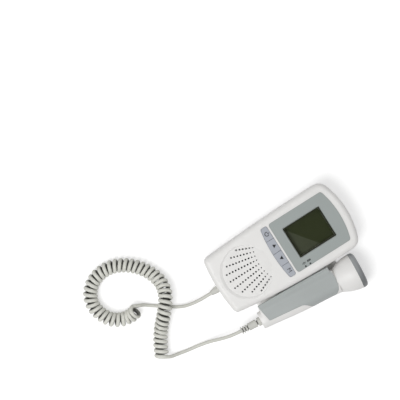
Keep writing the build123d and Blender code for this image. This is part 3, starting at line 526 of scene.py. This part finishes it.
pipePlastic = {                 # smoky, dark while the lamps under it are off
    "colour": tone(50, 54, 54),
    "grainSize": 0.3,
    "grainDepth": 0.003,
    "roughness": (0.2, 0.3),
    "specular": 0.5,
}
darkPlastic = {
    "colour": tone(38, 38, 40),
    "grainSize": 0.3,
    "grainDepth": 0.01,
    "roughness": (0.4, 0.55),
    "specular": 0.5,
}
ceramicDisc = {
    "colour": tone(214, 208, 186),
    "grainSize": 0.12,
    "grainDepth": 0.006,
    "roughness": (0.5, 0.65),
    "specular": 0.5,
}
nickelPlate = {
    "dark": tone(176, 176, 172),
    "light": tone(206, 205, 200),
    "lineSize": 2.2,
    "squeeze": (1, 14, 1),      # the blotches are squeezed to drawn lines, along x
    "depth": 0.004,
    "roughness": (0.24, 0.4),
}


def paintMetal():
    # nickel plate with fine drawn lines
    paint = Paint("nickelPlate")
    squeezed = paint.node("ShaderNodeMapping", {}, {
        "Vector": paint.object, "Scale": nickelPlate["squeeze"]})
    lines = paint.noise(nickelPlate["lineSize"], 3, 0.6, place=squeezed)
    base = paint.mix(lines, nickelPlate["dark"], nickelPlate["light"])
    rough = paint.fit(lines, 0.2, 0.8, *nickelPlate["roughness"])
    return paint.finish(
        Base_Color=base, Metallic=1.0, Roughness=rough,
        Normal=paint.bump(lines, nickelPlate["depth"]))


solderMask = {
    "mask": tone(20, 84, 48),
    "track": tone(34, 118, 66),     # the mask where it runs over a track
    "pad": tone(196, 178, 120),
    "trackScale": 420.0,        # of the pattern, per metre, and the next three are in its units
    "trackWidth": 0.03,
    "trackRun": 1.4,
    "trackPitch": 0.6,
    "padSpacing": 1.9,
    "padReach": 0.16,           # a pad's radius as a share of the spacing
    "padMetal": 0.9,
    "roughness": (0.25, 0.35),  # of the pads and of the mask
    "depth": 0.03,
}


def paintBoard():
    # green solder mask over copper tracks, with bare pads between
    paint = Paint("solderMask")
    tracks = paint.node("ShaderNodeTexBrick", {"offset": 0.5}, {
        "Vector": paint.object, "Scale": solderMask["trackScale"],
        "Mortar Size": solderMask["trackWidth"], "Brick Width": solderMask["trackRun"],
        "Row Height": solderMask["trackPitch"]}, out="Fac")
    pads = paint.cells(solderMask["padSpacing"]) < solderMask["padReach"]
    under = paint.mix(tracks, solderMask["mask"], solderMask["track"])
    base = paint.mix(pads, under, solderMask["pad"])
    low, high = solderMask["roughness"]
    return paint.finish(
        Base_Color=base, Roughness=paint.fit(pads, 0, 1, high, low),
        Metallic=pads * solderMask["padMetal"],
        Normal=paint.bump(tracks + pads, solderMask["depth"]))


displayFilm = {
    "dark": tone(47, 54, 26),
    # the colour under the painted reflection
    "light": tone(72, 77, 59),
    "edgeFrom": (-14.0, 10.1),  # a painted reflection makes the film lighter below a line between these two places
    "edgeTo": (15.2, 32.7),
    "edgeSoft": 0.4,            # how far each side of that line the change reaches
    "cloudSize": 12.0,
    "cloudShare": 0.25,
    "cloudShade": 0.8,
    "grainSize": 0.4,
    "grainDepth": 0.003,
    "roughness": 0.35,
    "specular": 0.15,
}


def paintDisplay():
    # the display's dark green film, with a painted reflection over its lower corner and faint clouds
    paint = Paint("displayFilm")
    x, y, z = paint.axes()
    x0, y0 = displayFilm["edgeFrom"]
    x1, y1 = displayFilm["edgeTo"]
    slope = (y1 - y0) / (x1 - x0)
    above = y - x * slope - (y0 - slope * x0) * mm
    soft = displayFilm["edgeSoft"] * mm
    # painted reflection over the lower corner
    paintedLight = paint.fit(above, -soft, soft, 1, 0)
    base = paint.mix(paintedLight, displayFilm["dark"], displayFilm["light"])
    cloud = paint.fit(
        paint.noise(displayFilm["cloudSize"], 2), 0.3, 0.7, 0, displayFilm["cloudShare"])
    base = paint.mix(cloud, base, shaded(displayFilm["dark"], displayFilm["cloudShade"]))
    return paint.finish(
        Base_Color=base, Roughness=displayFilm["roughness"],
        Specular_IOR_Level=displayFilm["specular"],
        Normal=paint.bump(paint.noise(displayFilm["grainSize"]), displayFilm["grainDepth"]))


clearWindow = {
    "border": 1.2,              # width of the dark border round its edge
    "borderTone": tone(44, 47, 34),
    "clearness": 0.94,
    "scuffSize": 1.6,
    "scuffRange": (0.45, 0.7),
    "roughness": (0.08, 0.16),
    "specular": 0.2,
}


def paintWindow():
    # cast window: almost nothing but its shine, with hairline scuffs and a dark border
    paint = Paint("clearWindow")
    scuffs = paint.noise(clearWindow["scuffSize"], 5, 0.7)
    rough = paint.fit(scuffs, *clearWindow["scuffRange"], *clearWindow["roughness"])
    x, y, z = paint.axes()
    low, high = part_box("lcd_window")
    middle = (low + high) / 2
    inside = (high - low) / 2 - Vector((1, 1, 0)) * clearWindow["border"] * mm
    clear = (abs(x - middle.x) < inside.x) * (abs(y - middle.y) < inside.y)
    return paint.finish(
        Base_Color=clearWindow["borderTone"], Roughness=rough,
        Specular_IOR_Level=clearWindow["specular"], Alpha=1 - clear * clearWindow["clearness"])


cellSleeve = {
    "wrap": tone(46, 52, 62),
    "band": tone(178, 140, 62),
    "bandFrom": 18.0,           # the band covers all of the cell beyond this
    "wearAndPaintedLight": tone(150, 150, 148),
    "wornSize": 3.0,
    "wornRange": (0.55, 0.75),
    "wornShare": 0.2,
    "roughness": (0.25, 0.4),
    "metallic": 0.3,
}


def paintSleeve():
    # plain wrapped sleeve of a dry cell: two bands of colour
    paint = Paint("cellSleeve")
    x, y, z = paint.axes()
    base = paint.mix(y > cellSleeve["bandFrom"] * mm, cellSleeve["wrap"], cellSleeve["band"])
    scuffs = paint.noise(cellSleeve["wornSize"], 4)
    wearAndPaintedLight = paint.fit(scuffs, *cellSleeve["wornRange"], 0, cellSleeve["wornShare"])
    base = paint.mix(wearAndPaintedLight, base, cellSleeve["wearAndPaintedLight"])
    rough = paint.fit(wearAndPaintedLight, 0, cellSleeve["wornShare"], *cellSleeve["roughness"])
    return paint.finish(Base_Color=base, Roughness=rough, Metallic=cellSleeve["metallic"])


finishes = {
    "white_case": paintMoulded("whiteCase", casePlastic),
    "panel_grey": paintMoulded("panelGrey", panelPlastic),
    "key_grey": paintMoulded("keyRubber", keyRubber),
    "grip_grey": paintMoulded("handleGrip", gripRubber, gripHighlight),
    "face_grey": paintMoulded("probeFace", facePlastic, faceShade),
    "cord_grey": paintMoulded("cordJacket", cordJacket, coilShadeAndLeadGrey),
    "black_plastic": paintMoulded("darkPlastic", darkPlastic),
    "ceramic": paintMoulded("ceramicDisc", ceramicDisc),
    "steel": paintMetal(),
    "circuit_board": paintBoard(),
    "display_glass": paintDisplay(),
    "clear_window": paintWindow(),
    "battery_sleeve": paintSleeve(),
}
ownFinishes = {                 # pieces that look unlike the rest of their slot
    "front_cover": paintMoulded("caseTop", casePlastic, dishLightAndShade),
    "probe_boot": paintMoulded("ribbedBoot", bootRubber, grooveShade),
    "cord_boot": paintMoulded("smoothBoot", bootRubber),
    "status_lights": paintMoulded("lightPipe", pipePlastic),
    "indicator_leds": paintMoulded("ledLens", pipePlastic),
}
for node, slot in slotOf.items():
    mesh = nodes[node].data
    mesh.materials.clear()
    mesh.materials.append(ownFinishes.get(node, finishes[slot]))

print("smooth shells")
shells = {
    "weld": 0.002,              # corners nearer than this become one
    "crease": 24.0,             # edges sharper than this stay sharp, degrees
    "bodies": {
        "front_cover": "main_unit", "rear_cover": "main_unit", "cord_boot": "main_unit",
        "display_panel": "main_unit", "battery_door": "door", "probe_head": "probe",
        "probe_face": "probe", "probe_lower_shell": "probe", "probe_grip_shell": "probe",
        "probe_boot": "probe", "power_key": "power_button", "up_key": "up_button",
        "down_key": "down_button", "mode_key": "mode_button",
    },
}


def evenShade(mesh):
    # each corner of a face shades as the faces round it that bend away by less than the crease
    around = [[] for corner in mesh.vertices]
    for face in mesh.polygons:
        for corner in face.vertices:
            around[corner].append(face.index)
    ways = [face.normal * face.area for face in mesh.polygons]
    straight = [face.normal.copy() for face in mesh.polygons]
    limit = math.cos(math.radians(shells["crease"]))
    shades = []
    for face in mesh.polygons:
        face.use_smooth = True
        for corner in face.vertices:
            near = [ways[other] for other in around[corner]
                    if straight[other].dot(straight[face.index]) > limit]
            shades.append(sum(near, Vector()).normalized())
    mesh.normals_split_custom_set(shades)


def addShell(node, body):
    # the same shape as the node, welded and smooth where the moulding is smooth
    bpy.ops.object.select_all(action="DESELECT")
    shell = bpy.data.objects.new(node + "Shell", nodes[node].data.copy())
    bpy.context.scene.collection.objects.link(shell)
    shell.select_set(True)
    bpy.context.view_layer.objects.active = shell
    bpy.ops.object.mode_set(mode="EDIT")
    bpy.ops.mesh.select_all(action="SELECT")
    bpy.ops.mesh.remove_doubles(threshold=shells["weld"] * mm)
    bpy.ops.mesh.dissolve_degenerate(threshold=shells["weld"] * mm)
    bpy.ops.object.mode_set(mode="OBJECT")
    evenShade(shell.data)
    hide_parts(node)
    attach(shell, body)


for node, body in shells["bodies"].items():
    addShell(node, body)

print("printed marks")
ink = {
    "colour": tone(20, 21, 24),
    "grainSize": 0.2,
    "grainDepth": 0.003,
    "roughness": (0.5, 0.65),
    "specular": 0.3,
    "height": 0.03,             # how far it stands up
    "keyRow": -4.8,             # where the marks on the keys lie, along the case
}
inkFinish = paintMoulded("markInk", ink)


def startMark(sides, radius, x, y, z, turn=0.0):
    # a flat shape with its face chosen, open for shaping
    bpy.ops.object.select_all(action="DESELECT")
    bpy.ops.mesh.primitive_circle_add(
        vertices=sides, radius=radius * mm, fill_type="NGON",
        location=(x * mm, y * mm, z * mm), rotation=(0, 0, turn))
    bpy.ops.object.mode_set(mode="EDIT")
    bpy.ops.mesh.select_mode(type="FACE")
    bpy.ops.mesh.select_all(action="SELECT")


def chooseFaces(test):
    bpy.ops.mesh.select_all(action="DESELECT")
    bpy.ops.object.mode_set(mode="OBJECT")
    for face in bpy.context.object.data.polygons:
        face.select = test(face.center)
    bpy.ops.object.mode_set(mode="EDIT")


def addBar(x, y, z, width, length):
    # one more flat bar in the shape that is being made
    middle = (x * mm, y * mm, z * mm)
    bpy.ops.mesh.select_all(action="DESELECT")
    bpy.ops.mesh.primitive_plane_add(size=1, location=middle)
    bpy.ops.transform.resize(value=(width * mm, length * mm, 1), center_override=middle)


def settleMark(name, body):
    # the mark's place goes into its mesh, and the mark moves with its body
    bpy.ops.object.transform_apply(location=True, rotation=True, scale=True)
    mark = bpy.context.object
    mark.name = name
    mark.data.materials.append(inkFinish)
    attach(mark, body)


def endMark(name, body):
    # the flat shape gets the ink's height
    bpy.ops.mesh.select_all(action="SELECT")
    bpy.ops.mesh.extrude_region_move(
        TRANSFORM_OT_translate={"value": (0, 0, ink["height"] * mm)})
    bpy.ops.mesh.select_all(action="SELECT")
    bpy.ops.mesh.normals_make_consistent(inside=False)
    bpy.ops.object.mode_set(mode="OBJECT")
    settleMark(name, body)


powerMark = {
    "across": -18.9,
    "radius": 2.1,
    "sides": 48,
    "stroke": 0.62,
    "gap": 0.66,                # radians each side of the top of the ring that stay open
    "barUp": 0.75,              # the bar's middle and its length, as shares of the radius
    "barLength": 1.1,
}


def addPowerMark():
    radius = powerMark["radius"]
    x, y = powerMark["across"], ink["keyRow"]
    startMark(powerMark["sides"], radius, x, y, keyTop)
    bpy.ops.mesh.inset(thickness=powerMark["stroke"] * mm)
    bpy.ops.mesh.delete(type="FACE")
    chooseFaces(lambda centre: abs(math.atan2(centre.x, centre.y)) < powerMark["gap"])
    bpy.ops.mesh.delete(type="FACE")
    addBar(
        x, y + powerMark["barUp"] * radius, keyTop,
        powerMark["stroke"], powerMark["barLength"] * radius)
    endMark("powerMark", "power_button")


arrows = {
    "radius": 2.1,
    "rounding": 0.1,
    "roundingSteps": 3,
    "upAcross": -6.5,
    "downAcross": 6.3,
}


def addArrow(name, body, across, turn):
    startMark(3, arrows["radius"], across, ink["keyRow"], keyTop, turn)
    bpy.ops.mesh.bevel(
        offset=arrows["rounding"] * mm, segments=arrows["roundingSteps"], affect="VERTICES")
    endMark(name, body)


modeLetter = {
    "across": 19.4,
    "size": 5.2,
}


def addLetter():
    # set at full size and then scaled, as so small an outline fills badly
    bpy.ops.object.select_all(action="DESELECT")
    bpy.ops.object.text_add(
        location=(modeLetter["across"] * mm, ink["keyRow"] * mm, keyTop * mm))
    words = bpy.context.object.data
    words.body = "M"
    words.align_x = "CENTER"
    words.align_y = "CENTER"
    words.extrude = ink["height"] / modeLetter["size"]
    bpy.ops.object.convert(target="MESH")
    bpy.context.object.scale = [modeLetter["size"] * mm] * 3
    settleMark("modeMark", "mode_button")


batteryMark = {
    "place": (21.1, 14.6),
    "size": (1.8, 3.2),
    "line": 0.3,
    "nubLength": 0.4,
    "bars": (-0.85, 0.0, 0.85),     # where the three bars lie along it
    "barInset": 0.4,            # from the battery's side to the end of a bar
    "barLength": 0.6,
}


def addBatteryMark():
    x, y = batteryMark["place"]
    width, length = batteryMark["size"]
    line = batteryMark["line"]
    nub = batteryMark["nubLength"]
    startMark(4, line, x, y, caseTop)
    bpy.ops.mesh.delete(type="FACE")
    for side in (-1, 1):
        addBar(x + side * (width - line) / 2, y, caseTop, line, length)
        addBar(x, y + side * (length - line) / 2, caseTop, width, line)
    addBar(x, y + (length + nub) / 2, caseTop, width / 2, nub)
    for along in batteryMark["bars"]:
        barWidth = width - 2 * batteryMark["barInset"]
        addBar(x, y + along, caseTop, barWidth, batteryMark["barLength"])
    endMark("batteryMark", "main_unit")


plugMark = {
    "place": (21.1, 9.6),
    "radius": 1.0,
    "sides": 24,
    "stroke": 0.42,
    "pinAcross": 0.45,          # from the plug's middle to each pin
    "pin": (0.35, 0.8),
    "lead": (0.4, 1.0),
}


def addPlugMark():
    x, y = plugMark["place"]
    radius = plugMark["radius"]
    startMark(plugMark["sides"], radius, x, y, caseTop)
    bpy.ops.mesh.inset(thickness=plugMark["stroke"] * mm)
    bpy.ops.mesh.delete(type="FACE")
    width, length = plugMark["pin"]
    for side in (-1, 1):
        addBar(x + side * plugMark["pinAcross"], y + radius + length / 2, caseTop, width, length)
    width, length = plugMark["lead"]
    addBar(x, y - radius - length / 2, caseTop, width, length)
    endMark("plugMark", "main_unit")


addPowerMark()
addArrow("upMark", "up_button", arrows["upAcross"], 0.0)
addArrow("downMark", "down_button", arrows["downAcross"], math.pi)
addLetter()
addBatteryMark()
addPlugMark()

print("stage")
stage = {                       # in metres and watts, but for the drop
    "floorWidth": 4.0,
    "floorDrop": 0.1,           # millimetres under the feet, so the two never meet
    "floorTone": tone(228, 228, 228),
    "floorLift": 0.45,          # the floor's own light, for the camera, reflections and glass
    "keyPlace": (0.16, -0.68, 1.5),     # the main lamp, nearly overhead
    "keyPower": 15.0,
    "keySize": 0.9,
    "fillPlace": (-0.9, 0.6, 1.5),
    "fillPower": 3.0,
    "fillSize": 1.6,
    "worldLevel": 0.36,
}


def addFloor():
    bpy.ops.object.select_all(action="DESELECT")
    bpy.ops.mesh.primitive_plane_add(
        size=stage["floorWidth"], location=(0, 0, -stage["floorDrop"] * mm))
    floor = bpy.context.object
    floor.name = "floor"
    paint = Paint("paleFloor")
    wash = paint.node("ShaderNodeBsdfDiffuse", {}, {"Color": opaque(stage["floorTone"])})
    seen = paint.node("ShaderNodeLightPath", out="Is Camera Ray")
    shine = paint.node("ShaderNodeLightPath", out="Is Glossy Ray")
    through = paint.node("ShaderNodeLightPath", out="Is Transmission Ray")
    glow = paint.node("ShaderNodeEmission", {}, {
        "Color": (1, 1, 1, 1), "Strength": (seen + shine + through) * stage["floorLift"]})
    both = paint.node("ShaderNodeAddShader", {}, {0: wash, 1: glow})
    paint.tree.links.new(both.socket, paint.end.inputs["Surface"])
    floor.data.materials.append(paint.material)


def addLamp(name, place, power, size):
    lamp = bpy.data.lights.new(name, "AREA")
    lamp.shape = "DISK"
    lamp.size = size
    lamp.energy = power
    stand = bpy.data.objects.new(name, lamp)
    bpy.context.scene.collection.objects.link(stand)
    stand.location = place
    stand.rotation_euler = (-Vector(place)).to_track_quat("-Z", "Y").to_euler()


def lightScene():
    world = bpy.data.worlds.new("studio")
    bpy.context.scene.world = world
    world.use_nodes = True
    sky = world.node_tree.nodes["Background"]
    sky.inputs["Color"].default_value = (1, 1, 1, 1)
    sky.inputs["Strength"].default_value = stage["worldLevel"]
    addLamp("keyLamp", stage["keyPlace"], stage["keyPower"], stage["keySize"])
    addLamp("fillLamp", stage["fillPlace"], stage["fillPower"], stage["fillSize"])


addFloor()
lightScene()

curlyCord.data.materials.append(finishes["cord_grey"])
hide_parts("cord_lead_unit", "curly_cord", "cord_lead_probe")
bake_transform(curlyCord)
